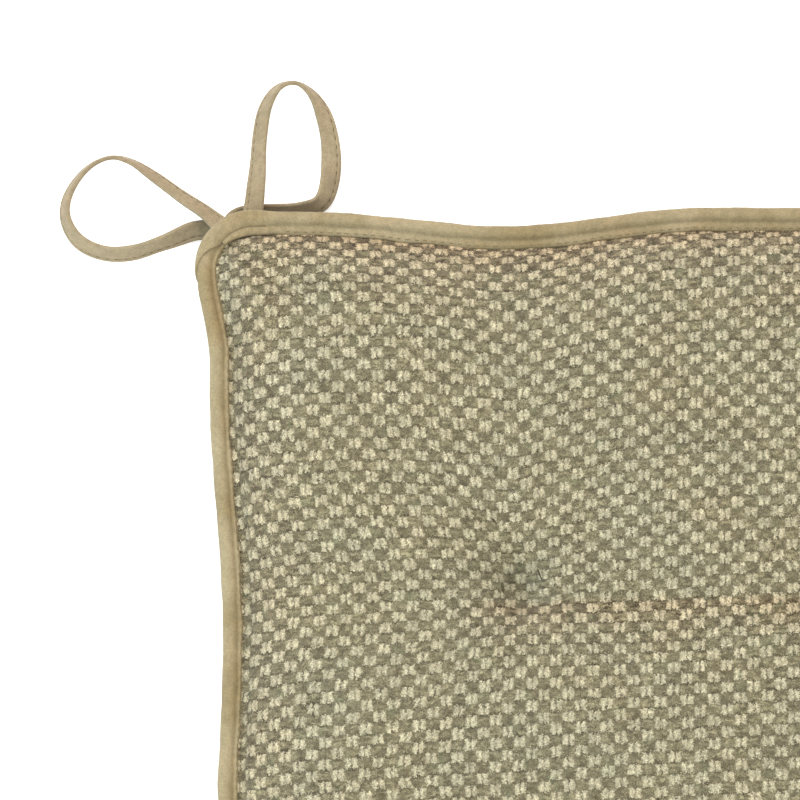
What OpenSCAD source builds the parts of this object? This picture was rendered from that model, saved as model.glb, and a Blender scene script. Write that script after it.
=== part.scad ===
// Tufted tie-on seat cushion: two woven cover panels bound together by a corded bias strip,
// a foam slab between two layers of wadding, four sewn tufts and two pairs of ties.
// The origin is at the middle of the underside, +Y points to the rear edge with the ties.

/* [Pad] */
// Overall side length over the binding, left to right and front to rear
pad_side = 406.4; // [380:0.4:430]
// Corner radius over the binding
corner_r = 20; // [16:1:24]
// Height of the seam above the surface the pad lies on
seam_z = 15; // [14:0.5:17]
// Height that the cover climbs steeply next to the binding
edge_rise = 11; // [9:0.5:12]
// Further height that the cover gains on its way to the middle
crown_rise = 18; // [12:1:22]
// Thickness of one cover panel
cover_t = 0.8; // [0.6:0.1:1]

/* [Edge shape] */
// How far the rear and front edges are drawn in at the tufts
rear_tuft_dip = 6.5; // [0:0.5:8]
// How far the rear and front edges fall short at the corners
rear_corner_dip = 1.4; // [0:0.2:3]
// How far the side edges are drawn in along their whole length
side_dip = 4.3; // [0:0.1:6]
// How much more the side edges are drawn in at mid length
side_mid_dip = 2.6; // [0:0.1:3]
// How much more the side edges are drawn in at the tufts
side_tuft_dip = 3; // [0:0.1:4]

/* [Tufts] */
// Distance of the tufts from the middle, left and right
tuft_x = 91.5; // [80:0.5:105]
// Distance of the tufts from the middle, front and rear
tuft_y = 69; // [55:0.5:80]
// Depth of the dimple that a tuft makes in the top
tuft_depth = 9; // [4:0.5:11]
// Depth of the dimple that a tuft makes in the underside
tuft_recess = 5; // [4:0.5:7]
// Spacing of the two needle holes of a tuft
tuft_gap = 13.5; // [10:0.5:16]

/* [Binding] */
// Diameter of the rolled edge of the binding
roll_d = 5.5; // [5:0.1:6]
// Diameter of the filler cord inside the rolled edge
cord_d = 3.7; // [3:0.1:3.8]
// Width of the binding from the outer edge of the roll to its raw edge
binding_w = 8.4; // [7.5:0.1:9]
// Thickness of the sewing thread
thread_d = 0.7; // [0.5:0.1:0.9]

/* [Ties] */
// Width of the tie tape
tie_w = 7; // [6:0.5:8]
// Thickness of the tie tape
tie_t = 1.5; // [1:0.1:1.6]

/* [Hidden] */

weave_col = [0.64, 0.61, 0.5];
binding_col = [0.7, 0.65, 0.52];
tie_col = [0.73, 0.67, 0.55];

half = pad_side / 2;
roll_r = roll_d / 2;
line_half = half - roll_r;          // half width between the centrelines of two opposite rolls
line_r = corner_r - roll_r;         // corner radius on that centreline
arc_c = half - corner_r;            // centre of the left and right corner arcs
arc_c_rear = arc_c - rear_corner_dip;
flange_end = binding_w - roll_r;    // inner edge of the binding, from the roll's centreline
panel_edge = 2.7;                   // outer edge of a cover panel, inside the binding
slot_half = 0.55;                   // half height of the slot in the binding for both panels
lip_t = 0.45;                       // thickness of a panel where the binding holds it
lip_gap = 0.05;
lift_off = flange_end + 0.25;       // distance from the roll at which the panels part
steep_reach = 8;                    // decay lengths of the steep and the gentle climb
gentle_reach = 55;
under_reach = 40;
under_steep = 9;
under_gentle = 14;
layer_gap = 0.3;

rear_dip_at = 97;                   // where the tufts draw the edges in most, from the middle
side_dip_centre = 62;

// ---------- curves ----------
function ramp(t) = t <= 0 ? 0 : t >= 1 ? 1 : t * t * (3 - 2 * t);
function bump(t) = abs(t) >= 1 ? 0 : pow(cos(90 * t), 2);
function climb(d, reach) = 1 - exp(-max(0, d) / reach);

function rear_dip(x) =
    rear_tuft_dip * bump((abs(x) - rear_dip_at) / 70) + rear_corner_dip * ramp((abs(x) - 110) / 50);
function side_dip_at(y) =
    side_dip * ramp((180 - abs(y)) / 30) + side_mid_dip * bump(y / 140)
    + side_tuft_dip * bump((abs(y) - side_dip_centre) / 80);

// Centreline of the roll in the first quadrant, u from 0 at the middle of an edge to 1 at the corner
arc_share = 0.92;
function rear_point(u) =
    u <= arc_share
    ? let (x = arc_c * u / arc_share) [x, line_half - rear_dip(x)]
    : let (a = 90 - 45 * (u - arc_share) / (1 - arc_share))
      [arc_c + line_r * cos(a), arc_c_rear + line_r * sin(a)];
function side_point(v) =
    v <= arc_share
    ? let (y = arc_c_rear * v / arc_share) [line_half - side_dip_at(y), y]
    : let (a = 45 * (v - arc_share) / (1 - arc_share))
      [arc_c + line_r * cos(a), arc_c_rear + line_r * sin(a)];

// A point of the pad's plan, from a and b that each run from -1 to 1
function plan(a, b) =
    let (m = max(abs(a), abs(b)), s = sign(a), t = sign(b))
    m == 0 ? [0, 0]
    : abs(b) >= abs(a)
      ? let (p = rear_point(abs(a) / m)) [m * s * p.x, m * t * p.y]
      : let (p = side_point(abs(b) / m)) [m * s * p.x, m * t * p.y];

// ---------- heights of the layers; m is 0 at the middle and 1 on the roll's centreline ----------
function inside(m) = (1 - m) * line_half - lift_off;
function dimple(p) = exp(
    -pow((abs(p.x) - tuft_x) / 16, 2) - pow((abs(p.y) - tuft_y) / 14, 2)
);
function top_z(p, m) =
    seam_z + lip_gap + lip_t
    + edge_rise * climb(inside(m), steep_reach) + crown_rise * climb(inside(m), gentle_reach)
    - tuft_depth * dimple(p);
function under_z(p, m) = max(
    0,
    seam_z - lip_gap - lip_t
    - under_steep * climb(inside(m), steep_reach) - under_gentle * climb(inside(m), under_reach)
);
function top_in_z(p, m) = max(seam_z + lip_gap, top_z(p, m) - lip_t
    - (cover_t - lip_t) * ramp(inside(m) / 4));
function under_in_z(p, m) = min(seam_z - lip_gap, under_z(p, m) + lip_t
    + (cover_t - lip_t) * ramp(inside(m) / 4));
function core_top_z(p, m) = seam_z + 0.62 * (top_in_z(p, m) - seam_z);
function core_under_z(p, m) = seam_z - 0.6 * (seam_z - under_in_z(p, m));

// ---------- closed sheets and swept tubes ----------
function lines(n, pitch, edges) =
    let (h = concat([for (k = [0:n]) pitch * k], edges))
    concat([for (k = [len(h) - 1:-1:1]) -h[k]], h);

function height(kind, p, m) =
    kind == "top" ? top_z(p, m)
    : kind == "top_in" ? top_in_z(p, m)
    : kind == "wad_top" ? top_in_z(p, m) - layer_gap
    : kind == "core_top" ? core_top_z(p, m)
    : kind == "core_top_clear" ? core_top_z(p, m) + layer_gap
    : kind == "core_under_clear" ? core_under_z(p, m) - layer_gap
    : kind == "core_under" ? core_under_z(p, m)
    : kind == "wad_under" ? under_in_z(p, m) + layer_gap
    : kind == "under_in" ? under_in_z(p, m)
    : under_z(p, m);

module sheet(g, upper, lower) {
    n = len(g);
    layer = [for (kind = [upper, lower], b = g, a = g)
        let (p = plan(a, b)) [p.x, p.y, height(kind, p, max(abs(a), abs(b)))]];
    function at(i, j, low) = low * n * n + j * n + i;
    rim = concat(
        [for (i = [0:n - 2]) [i, 0]], [for (j = [0:n - 2]) [n - 1, j]],
        [for (i = [n - 1:-1:1]) [i, n - 1]], [for (j = [n - 1:-1:1]) [0, j]]
    );
    cells = [for (j = [0:n - 2], i = [0:n - 2]) [i, j]];
    // the diagonals run towards the middle, which keeps the corners fair
    function leans(c) = (c[0] < (n - 1) / 2) == (c[1] < (n - 1) / 2);
    function quad(c, low) = let (
        p = at(c[0], c[1], low), q = at(c[0] + 1, c[1], low),
        r = at(c[0] + 1, c[1] + 1, low), s = at(c[0], c[1] + 1, low))
        leans(c) ? [[p, r, q], [p, s, r]] : [[p, s, q], [q, s, r]];
    polyhedron(layer, concat(
        [for (c = cells, f = quad(c, 0)) f],
        [for (c = cells, f = quad(c, 1)) [f[2], f[1], f[0]]],
        [for (k = [0:len(rim) - 1])
            let (c = rim[k], d = rim[(k + 1) % len(rim)])
            each [[at(c[0], c[1], 0), at(d[0], d[1], 0), at(d[0], d[1], 1)],
                  [at(c[0], c[1], 0), at(d[0], d[1], 1), at(c[0], c[1], 1)]]]
    ));
}

// The roll's centreline all the way round, anticlockwise, as [x, y]
edge_steps = 7;
arc_steps = 4;
quarter = concat(
    [for (k = [0:edge_steps - 1]) side_point(arc_share * k / edge_steps)],
    [for (k = [0:arc_steps]) side_point(arc_share + (1 - arc_share) * k / arc_steps)],
    [for (k = [arc_steps - 1:-1:0]) rear_point(arc_share + (1 - arc_share) * k / arc_steps)],
    [for (k = [edge_steps - 1:-1:1]) rear_point(arc_share * k / edge_steps)]
);
function turned(q) = [for (k = [len(q) - 1:-1:0]) q[k]];
outline = concat(
    quarter, [rear_point(0)],
    [for (p = turned(quarter)) if (p.y > 0) [-p.x, p.y]], [[-side_point(0).x, 0]],
    [for (k = [1:len(quarter) - 1]) [-quarter[k].x, -quarter[k].y]], [-rear_point(0)],
    [for (p = turned(quarter)) if (p.y > 0) [p.x, -p.y]]
);
rear_left = 2 * len(quarter) - edge_steps - arc_steps;  // the middle of the rear left corner arc
function unit(v) = v / norm(v);
function inward(pts, i) =
    let (n = len(pts), t = unit(pts[(i + 1) % n] - pts[(i + n - 1) % n])) [-t.y, t.x];

// Sweep a closed profile of [inward, up] points round a closed plan curve
module ring_sweep(pts, profile) {
    n = len(pts);
    k = len(profile);
    points = [for (i = [0:n - 1], q = profile)
        let (d = inward(pts, i)) [pts[i].x + d.x * q.x, pts[i].y + d.y * q.x, seam_z + q.y]];
    polyhedron(points, [for (i = [0:n - 1], j = [0:k - 1])
        let (i2 = (i + 1) % n, j2 = (j + 1) % k)
        each [[i * k + j, i2 * k + j, i2 * k + j2], [i * k + j, i2 * k + j2, i * k + j2]]]);
}

// Sweep a list of rings, each a list of points, into a tube with closed ends
module ring_stack(rings) {
    n = len(rings);
    k = len(rings[0]);
    polyhedron([for (r = rings, p = r) p], concat(
        [[for (j = [0:k - 1]) j]],
        [for (i = [0:n - 2], j = [0:k - 1])
            let (j2 = (j + 1) % k)
            each [[i * k + j, (i + 1) * k + j, (i + 1) * k + j2],
                  [i * k + j, (i + 1) * k + j2, i * k + j2]]],
        [[for (j = [k - 1:-1:0]) (n - 1) * k + j]]
    ));
}

// Tie routes: [x, y, z, roll] of the tape's centreline, from its sewn root to its tucked end
side_tie_route = [
    [-190, 190.5, 13, 0], [-193, 195.5, 11.2, 4], [-199.5, 202.7, 6.5, 38], [-208.5, 209.4, 4, 46],
    [-217.8, 216.3, 3.9, 55], [-226.2, 221.8, 4, 70], [-233.7, 223.2, 4, 78], [-241.7, 219, 4, 74],
    [-247.7, 210.3, 3.9, 68], [-248.7, 201.8, 3.9, 67], [-244.2, 193.8, 3.8, 62], [-235.5, 189.6, 3.7, 58],
    [-225.4, 189.8, 3.6, 55], [-214, 193.7, 3.4, 53], [-203.5, 197.8, 2.6, 28], [-194, 197.2, 1.3, 6],
    [-187, 190, 0.9, 0], [-184, 176, 0.9, 0], [-182, 155, 0.9, 0], [-180, 134, 0.9, 0],
    [-179, 114, 0.9, 0]
];
rear_tie_route = [
    [-189.5, 189.5, 11.2, 0], [-191.2, 195, 8.9, 0], [-190.5, 200.3, 7, 25],
    [-185.5, 203.9, 4.4, 62], [-177, 204.9, 4, 74], [-168, 205.2, 3.9, 66], [-161, 207.1, 3.4, 45],
    [-157.8, 213.8, 2.5, 24], [-157, 224.8, 2.2, 14], [-158.7, 235.7, 2.6, 28], [-162.6, 244.5, 3.8, 60],
    [-168.5, 249.5, 4, 78], [-175, 248.3, 4, 70], [-179.6, 241.4, 3.7, 54], [-181.6, 231, 3.6, 46],
    [-182.4, 218.5, 5.8, 38], [-183.2, 208.6, 9.4, 22], [-183.8, 200.5, 10.6, 6],
    [-182, 192.5, 8, 0], [-174, 186.8, 2.5, 0], [-160, 186, 0.9, 0], [-140, 185.5, 0.9, 0],
    [-120, 183, 0.9, 0], [-104, 181, 0.9, 0]
];
tape_profile = [
    for (s = [[1, 1], [-1, 1], [-1, -1], [1, -1]], c = s.x * s.y > 0 ? [0, 1] : [1, 0])
    [s.x * (tie_w / 2 - (c == 0 ? 0 : tie_t / 4)), s.y * (tie_t / 2 - (c == 0 ? tie_t / 4 : 0))]
];

module tape(route) {
    n = len(route);
    at = [for (r = route) [r[0], r[1], r[2]]];
    ring_stack([for (i = [0:n - 1])
        let (
            along = unit(at[min(i + 1, n - 1)] - at[max(i - 1, 0)]),
            across = unit(cross([0, 0, 1], along)),
            up = cross(along, across),
            wide = cos(route[i][3]) * across + sin(route[i][3]) * up,
            thick = cross(along, wide)
        )
        [for (q = tape_profile) at[i] + q.x * wide + q.y * thick]]);
}

// ---------- sub-parts ----------
tuft_turn = 20;                     // angle of the tuft stitch to the rear edge
hole_r = 0.9;
module needle_holes() {
    for (s = [-1, 1], t = [-1, 1], e = [-1, 1])
        translate([s * tuft_x, t * tuft_y, -1]) rotate(tuft_turn)
            translate([e * tuft_gap / 2, 0, 0]) cylinder(h = 60, r = hole_r, $fn = 24);
}

// All layers share their inner grid lines, so that they nest without touching
grid_steps = 9;
grid_pitch = 0.92 / grid_steps;
sheet_lines = lines(grid_steps, grid_pitch,
    [0.95, 1 - lift_off / line_half, 1 - panel_edge / line_half]);
wad_lines = lines(grid_steps, grid_pitch, []);
core_lines = lines(grid_steps - 1, grid_pitch, []);

module top_cover() {
    color(weave_col) difference() {
        sheet(sheet_lines, "top", "top_in");
        needle_holes();
    }
}

module bottom_cover() {
    dish_r = 15;
    color(weave_col) {
        difference() {
            sheet(sheet_lines, "under_in", "under");
            for (s = [-1, 1], t = [-1, 1])
                translate([s * tuft_x, t * tuft_y, -1]) cylinder(h = 4, r = dish_r - 0.4, $fn = 48);
        }
        // the underside is drawn up into a dish at each tuft
        difference() {
            for (s = [-1, 1], t = [-1, 1])
                translate([s * tuft_x, t * tuft_y, 0]) rotate_extrude($fn = 48)
                    polygon([[dish_r, 0], [dish_r, cover_t], [8, tuft_recess + cover_t],
                        [0, tuft_recess + cover_t], [0, tuft_recess], [7.6, tuft_recess],
                        [dish_r - 1.4, 0]]);
            needle_holes();
        }
    }
}

module top_wadding() {
    color("white") difference() {
        sheet(wad_lines, "wad_top", "core_top_clear");
        needle_holes();
    }
}

module foam_core() {
    color([0.95, 0.9, 0.7]) difference() {
        sheet(core_lines, "core_top", "core_under");
        needle_holes();
    }
}

module bottom_wadding() {
    color("white") difference() {
        sheet(wad_lines, "core_under_clear", "wad_under");
        needle_holes();
        for (s = [-1, 1], t = [-1, 1])
            translate([s * tuft_x, t * tuft_y, -1]) cylinder(h = 20, r = 16, $fn = 48);
    }
}

module piping_cord() {
    sides = 8;
    color("ivory") ring_sweep(outline, [for (k = [0:sides - 1])
        cord_d / 2 * [cos(360 * k / sides), sin(360 * k / sides)]]);
}

// The bias strip: round the cord, then both layers lie flat on the cover panels
function strip_profile(outer_r, t, end, steps) =
    let (
        flat = slot_half + t, in_r = outer_r - t,
        a = asin(flat / outer_r), b = asin(slot_half / in_r)
    )
    concat(
        [[end, flat]],
        [for (k = [0:steps]) let (w = a + (360 - 2 * a) * k / steps) outer_r * [cos(w), sin(w)]],
        [[end, -flat], [end, -slot_half]],
        [for (k = [steps:-1:0]) let (w = b + (360 - 2 * b) * k / steps) in_r * [cos(w), sin(w)]],
        [[end, slot_half]]
    );

module edge_binding() {
    color(binding_col) ring_sweep(outline, turned(strip_profile(roll_r, 0.8, flange_end, 8)));
}

// The folded end of the strip, lapped over its own start at the rear left corner
module binding_lap() {
    lap_t = 0.35;
    color(binding_col) ring_stack([for (i = [rear_left - arc_steps:rear_left + arc_steps - 1])
        let (d = inward(outline, i))
        [for (q = lap_profile(roll_r + 0.05, lap_t))
            [outline[i].x + d.x * q.x, outline[i].y + d.y * q.x, seam_z + q.y]]]);
}
function lap_profile(r, t) = concat(
    [for (k = [0:6]) (r + t) * [cos(40 + 190 * k / 6), sin(40 + 190 * k / 6)]],
    [for (k = [6:-1:0]) r * [cos(40 + 190 * k / 6), sin(40 + 190 * k / 6)]]
);

module binding_stitching() {
    sides = 6;
    r = thread_d / 2;
    color("khaki") for (s = [-1, 1])
        ring_sweep(outline, [for (k = [0:sides - 1])
            [flange_end - 1, s * (slot_half + 0.8 + r)] + r * [cos(60 * k), sin(60 * k)]]);
}

// One tuft: two strands through the pad, a bar of thread on top and a knotted bar underneath
module tuft_thread(sx, sy) {
    leg_r = thread_d / 2;
    bar_r = leg_r + 0.15;
    over = bar_r + 0.2;
    knot_l = 3;
    knot_r = 1.2;
    low = tuft_recess - bar_r - 0.4;
    p = [sx * tuft_x, sy * tuft_y];
    high = top_z(p, tuft_x / line_half) + bar_r + 0.3;
    color("dimgray") translate([p.x, p.y, 0]) rotate(tuft_turn) {
        for (e = [-1, 1]) translate([e * tuft_gap / 2, 0, low])
            cylinder(h = high - low, r = leg_r, $fn = 24);
        for (z = [low, high]) translate([-tuft_gap / 2 - over, 0, z]) rotate([0, 90, 0])
            cylinder(h = tuft_gap + 2 * over, r = bar_r, $fn = 24);
        translate([-knot_l / 2, 0, low]) rotate([0, 90, 0])
            cylinder(h = knot_l, r = knot_r, $fn = 24);
    }
}

module side_tie() { color(tie_col) tape(side_tie_route); }
module rear_tie() { color(tie_col) tape(rear_tie_route); }

// The row of stitches that holds both ties of a corner under the binding
module tie_tack() {
    color("khaki") translate([-189.8, 190.2, seam_z - 4.9]) rotate(45)
        for (k = [-2:2]) translate([k * 1.3, 0, 0]) rotate([0, 20, 0])
            cylinder(h = 3.4, r = 0.3, $fn = 16);
}

top_cover();
bottom_cover();
top_wadding();
foam_core();
bottom_wadding();
piping_cord();
edge_binding();
binding_lap();
binding_stitching();
tuft_thread(-1, 1);  // tuft_thread_rear_left
tuft_thread(1, 1);  // tuft_thread_rear_right
tuft_thread(-1, -1);  // tuft_thread_front_left
tuft_thread(1, -1);  // tuft_thread_front_right
side_tie();  // left_side_tie
rear_tie();  // left_rear_tie
mirror([1, 0, 0]) side_tie();  // right_side_tie
mirror([1, 0, 0]) rear_tie();  // right_rear_tie
tie_tack();  // left_tie_tack
mirror([1, 0, 0]) tie_tack();  // right_tie_tack
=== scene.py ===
"""Tufted tie-on seat cushion in basket weave, seen from close above its rear left corner."""
import math

import bpy
import numpy as np
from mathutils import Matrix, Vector


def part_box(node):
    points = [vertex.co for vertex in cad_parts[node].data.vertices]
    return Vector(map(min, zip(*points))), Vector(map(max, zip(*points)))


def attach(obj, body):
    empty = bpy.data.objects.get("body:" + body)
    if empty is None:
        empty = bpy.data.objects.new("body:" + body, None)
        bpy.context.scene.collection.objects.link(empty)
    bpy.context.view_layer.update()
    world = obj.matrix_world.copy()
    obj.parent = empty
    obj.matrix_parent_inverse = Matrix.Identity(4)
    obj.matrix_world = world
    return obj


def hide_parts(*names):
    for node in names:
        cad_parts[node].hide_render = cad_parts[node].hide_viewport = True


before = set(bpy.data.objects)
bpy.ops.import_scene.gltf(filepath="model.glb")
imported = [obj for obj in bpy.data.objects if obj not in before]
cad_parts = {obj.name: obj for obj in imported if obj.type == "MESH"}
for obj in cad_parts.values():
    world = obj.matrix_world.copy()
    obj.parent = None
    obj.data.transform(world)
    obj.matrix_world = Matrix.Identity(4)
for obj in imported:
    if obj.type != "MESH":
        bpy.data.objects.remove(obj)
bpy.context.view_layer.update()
MM = 0.001

# ---------------------------------------------------------------- sizes, in millimetres
binding_low, binding_high = (np.array(c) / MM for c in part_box("edge_binding"))
_, cover_high = (np.array(c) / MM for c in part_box("top_cover"))
tuft_low, tuft_high = (np.array(c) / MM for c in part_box("tuft_thread_rear_right"))
HALF = (binding_high[0] - binding_low[0]) / 2
SEAM_Z = (binding_high[2] + binding_low[2]) / 2
TUFT_X, TUFT_Y = (tuft_low + tuft_high)[:2] / 2
ROLL_R = 2.75  # radius of the corded roll
LINE_HALF = HALF - ROLL_R  # half width between the centrelines of opposite rolls
LINE_R = 20 - ROLL_R  # corner radius on that centreline
CORNER_SHORT = 1.4  # how far the rear and front edges fall short at the corners
FLANGE_TUCKED = 0.6  # share of the flange that the bulging cloth hides along the sides
LIFT_OFF = 5.9  # where the cover leaves the binding
LIP = 0.5  # height of the cover above the seam inside the binding
EDGE_RISE, STEEP = 11.0, 8.0  # height and reach of the steep rise inside the edge
CROWN_RISE = cover_high[2] - SEAM_Z - LIP - EDGE_RISE
GENTLE = 55.0  # reach of the gentle crown, whose height is CROWN_RISE
# below the seam: the steep fall, the gentle fall, and how far the gentle one reaches
UNDER_STEEP, UNDER_GENTLE, UNDER_REACH = 9.0, 14.0, 40.0
TUFT_DEPTH, TUFT_RECESS = 9.0, 5.0  # how a tuft dents the top and lifts the underside
TUFT_GAP, TUFT_TURN = 13.5, math.radians(20)  # between its needle holes, and their turn
CREASE_Y = TUFT_Y - 8  # the crease between two tufts runs just inside their row
DRAWN_X, DRAWN_Y = 95.0, 66.0  # the middle of the cloth that a tuft draws together
REAR_DIP_AT, SIDE_DIP_AT = 97.0, 62.0  # where the tufts draw the edges in most
BLOCK_W, BLOCK_H = 4.58, 3.94  # one block of the weave
# the weave was cut a little off its own grain
ROW_SKEW, COLUMN_SKEW = math.tan(math.radians(2.9)), math.tan(math.radians(0.7))


# ---------------------------------------------------------------- camera
def make_camera():
    data = bpy.data.cameras.new("camera")
    data.lens = 1500  # far away, so that nearer parts are not enlarged
    data.sensor_width = 36
    cam = bpy.data.objects.new("camera", data)
    bpy.context.scene.collection.objects.link(cam)
    elevation = math.radians(78)
    span = 275.5 * MM  # width of the view at the object
    aim = Vector((-133.2, 134.3, 20.0)) * MM
    back = Vector((0, -math.cos(elevation), math.sin(elevation)))
    cam.location = aim + back * (span * data.lens / data.sensor_width)
    cam.rotation_mode = "QUATERNION"
    cam.rotation_quaternion = (-back).to_track_quat("-Z", "Y")
    data.clip_start, data.clip_end = 0.05, 20
    bpy.context.scene.camera = cam


make_camera()


# ---------------------------------------------------------------- shape of the pad
def ramp(t):
    t = np.clip(t, 0, 1)
    return t * t * (3 - 2 * t)


def bump(t):
    return np.cos(np.pi / 2 * np.clip(np.abs(t), 0, 1)) ** 2


def rear_dip(x):
    """How far the rear and front edges dip in from a straight line."""
    x = np.abs(x)
    return 6.5 * bump((x - REAR_DIP_AT) / 70) + CORNER_SHORT * ramp((x - 110) / 50)


def side_draw(y):
    """How far the tufts draw the side in; the rest of its dip is in the cut of the cloth."""
    y = np.abs(y)
    return 2.6 * bump(y / 140) + 3.0 * bump((y - SIDE_DIP_AT) / 80)


def side_dip(y):
    """How far the sides dip in from a straight line, drawn and cut together."""
    return side_draw(y) + 4.3 * ramp((180 - np.abs(y)) / 30)


def edge_distance(x, y):
    """Distance in plan from the roll's centreline, inwards, eased where two edges compete."""
    dx = LINE_HALF - side_dip(y) - np.abs(x)
    dy = LINE_HALF - rear_dip(x) - np.abs(y)
    qx, qy = np.maximum(LINE_R - dx, 0), np.maximum(LINE_R - dy, 0)
    d = np.where((qx > 0) & (qy > 0), LINE_R - np.hypot(qx, qy), np.minimum(dx, dy))
    k = 1.3 * np.maximum(d, 1e-3)
    h = np.maximum(1 - np.abs(dx - dy) / k, 0)
    return d - k / 4 * h * h * ramp(d / 12)


def climb(d, reach):
    """Rises from 0 towards 1 as d grows past reach."""
    return 1 - np.exp(-np.maximum(d, 0) / reach)


def groove(x, y, a, b, depth, width):
    """A soft valley along the line from a to b, which fades at both ends."""
    a, b = np.array(a, float), np.array(b, float)
    run = b - a
    t = ((x - a[0]) * run[0] + (y - a[1]) * run[1]) / run.dot(run)
    away = np.hypot(x - a[0] - np.clip(t, 0, 1) * run[0], y - a[1] - np.clip(t, 0, 1) * run[1])
    return depth * np.exp(-((away / width) ** 2)) * (1 - 0.75 * ramp(t))


# the valleys round one tuft: from, to, depth and width
VALLEYS = [
    ((TUFT_X - 5, CREASE_Y), (-5, CREASE_Y - 1), 3.4, 9),  # the crease to the next tuft
    ((TUFT_X - 3, CREASE_Y), (-5, CREASE_Y - 1), 1.3, 2.6),  # the sharp bottom of that crease
    ((TUFT_X, CREASE_Y + 4), (TUFT_X + 60, CREASE_Y - 14), 2.6, 8),  # outwards and forwards
    ((TUFT_X, CREASE_Y), (TUFT_X + 4, 0), 1.6, 7),  # along the side, to the middle
    ((TUFT_X, TUFT_Y + 6), (TUFT_X + 2, LINE_HALF), 3.0, 16),  # to the dip in the rear edge
    ((TUFT_X + 6, TUFT_Y), (LINE_HALF, TUFT_Y - 4), 2.4, 16),  # to the dip in the side
]


def dimple(x, y, wider=1.0):
    return np.exp(
        -(((np.abs(x) - TUFT_X) / (15 * wider)) ** 2) - ((np.abs(y) - TUFT_Y) / (13 * wider)) ** 2
    )


def top_height(x, y):
    d = edge_distance(x, y) - LIFT_OFF
    z = SEAM_Z + LIP + EDGE_RISE * climb(d, STEEP) + CROWN_RISE * climb(d, GENTLE)
    ax, ay = np.abs(x), np.abs(y)
    fade = ramp(d / 30)
    valleys = sum(groove(ax, ay, *valley) for valley in VALLEYS)
    pit = 1.6 * np.exp(-(dimple_axis(ax, ay) ** 2))
    return z - TUFT_DEPTH * dimple(x, y) * 0.75 - fade * valleys - pit


def dimple_axis(ax, ay):
    """Scaled distance from the small oval between a tuft's two needle holes."""
    c, s = math.cos(TUFT_TURN), math.sin(TUFT_TURN)
    u = (ax - TUFT_X) * c + (ay - TUFT_Y) * s
    v = -(ax - TUFT_X) * s + (ay - TUFT_Y) * c
    return np.hypot(u / 7.5, v / 4.2)


def under_height(x, y):
    d = edge_distance(x, y) - LIFT_OFF
    z = SEAM_Z - LIP - UNDER_STEEP * climb(d, STEEP) - UNDER_GENTLE * climb(d, UNDER_REACH)
    z = np.where(z > 3, z, 3 * np.exp((z - 3) / 3))  # settles smoothly onto the surface
    z = z * (1 - ramp((d - 22) / 10))
    return z + TUFT_RECESS * dimple(x, y, 0.85)


# ---------------------------------------------------------------- fabric coordinates
def arc_table(height_of, tuck_at, tuck, width, limit, ease=0.0):
    """Plan distance from the middle for each fabric length, along a straight middle section.

    A share, tuck, of extra cloth is gathered round tuck_at, and ease leaves cloth out of the crown.
    """
    p = np.linspace(0, limit, 4000)
    slope = np.gradient(height_of(LINE_HALF - p - LIFT_OFF), p)
    length = np.sqrt(1 + slope**2) * (1 + tuck * np.exp(-(((p - tuck_at) / width) ** 2)))
    length = length * (1 - ease * np.exp(-(LINE_HALF - p) / GENTLE))
    s = np.concatenate([[0], np.cumsum((length[1:] + length[:-1]) / 2 * np.diff(p))])
    return s, p


def top_profile(d):
    return EDGE_RISE * climb(d, STEEP)


def under_profile(d):
    return UNDER_STEEP * climb(d, STEEP) + UNDER_GENTLE * climb(np.minimum(d, 24), UNDER_REACH)


def tent(t, reach, depth):
    """A peak of the given depth that falls away on both sides and ends at reach."""
    return depth * np.maximum(1 - np.sqrt(t**2 + 9) / reach, 0) ** 2


ROW_PULL, ROW_REACH = 5.6, 72.0  # a tuft's pull on the rows between it and the edge
BACK_PULL, BACK_REACH = 1.9, 60.0  # and on the rows between it and the middle
EASE_BAND = 26.0  # inside the edge, where rows stop following the edge's own dips
PINCH = 2.0  # how far the crease draws the columns in near the side
BOW = 0.21  # rows run back by this share of the height that the crown loses near the side


def plan_of(s, t, tables):
    """Where the fabric point (s, t) lies in plan: rows and columns follow the drawn-in edges."""
    (sx, px), (sy, py) = tables
    y0 = np.sign(t) * np.interp(np.abs(t), sy, py)
    drawn = side_draw(y0)
    cut = side_dip(y0) - drawn
    x0 = np.sign(s) * (np.interp(np.abs(s) + cut, sx, px) - cut)
    ax, ay = np.abs(x0), np.abs(y0)
    inner = ramp((LINE_HALF - ay - 8) / EASE_BAND)
    row_dip = (1 - inner) * rear_dip(x0) + inner * tent(ax - DRAWN_X, ROW_REACH, ROW_PULL)
    row_dip = row_dip * ramp((ay - DRAWN_Y + 4) / 42)
    back = tent(ax - DRAWN_X, BACK_REACH, BACK_PULL)
    row_dip = row_dip - back * ramp((DRAWN_Y + 6 - ay) / 12) * ramp(ay / 40)
    bow = BOW * CROWN_RISE * np.exp(-(LINE_HALF - ax) / GENTLE) * inner
    pinch = PINCH * np.exp(-(((ay - CREASE_Y) / 22) ** 2)) * ramp((LINE_HALF - cut - ax) / 14)
    column_dip = (drawn + pinch) * ramp((ax - DRAWN_X + 30) / 62)
    return x0 - np.sign(x0) * column_dip, y0 - np.sign(y0) * row_dip + bow


TOP_TABLES = (
    arc_table(top_profile, DRAWN_X, 0.02, 14, LINE_HALF),
    arc_table(top_profile, CREASE_Y, 0.09, 15, LINE_HALF, 0.06),
)
UNDER_TABLES = (
    arc_table(under_profile, DRAWN_X, 0.04, 14, LINE_HALF),
    arc_table(under_profile, DRAWN_Y, 0.04, 14, LINE_HALF),
)


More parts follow.
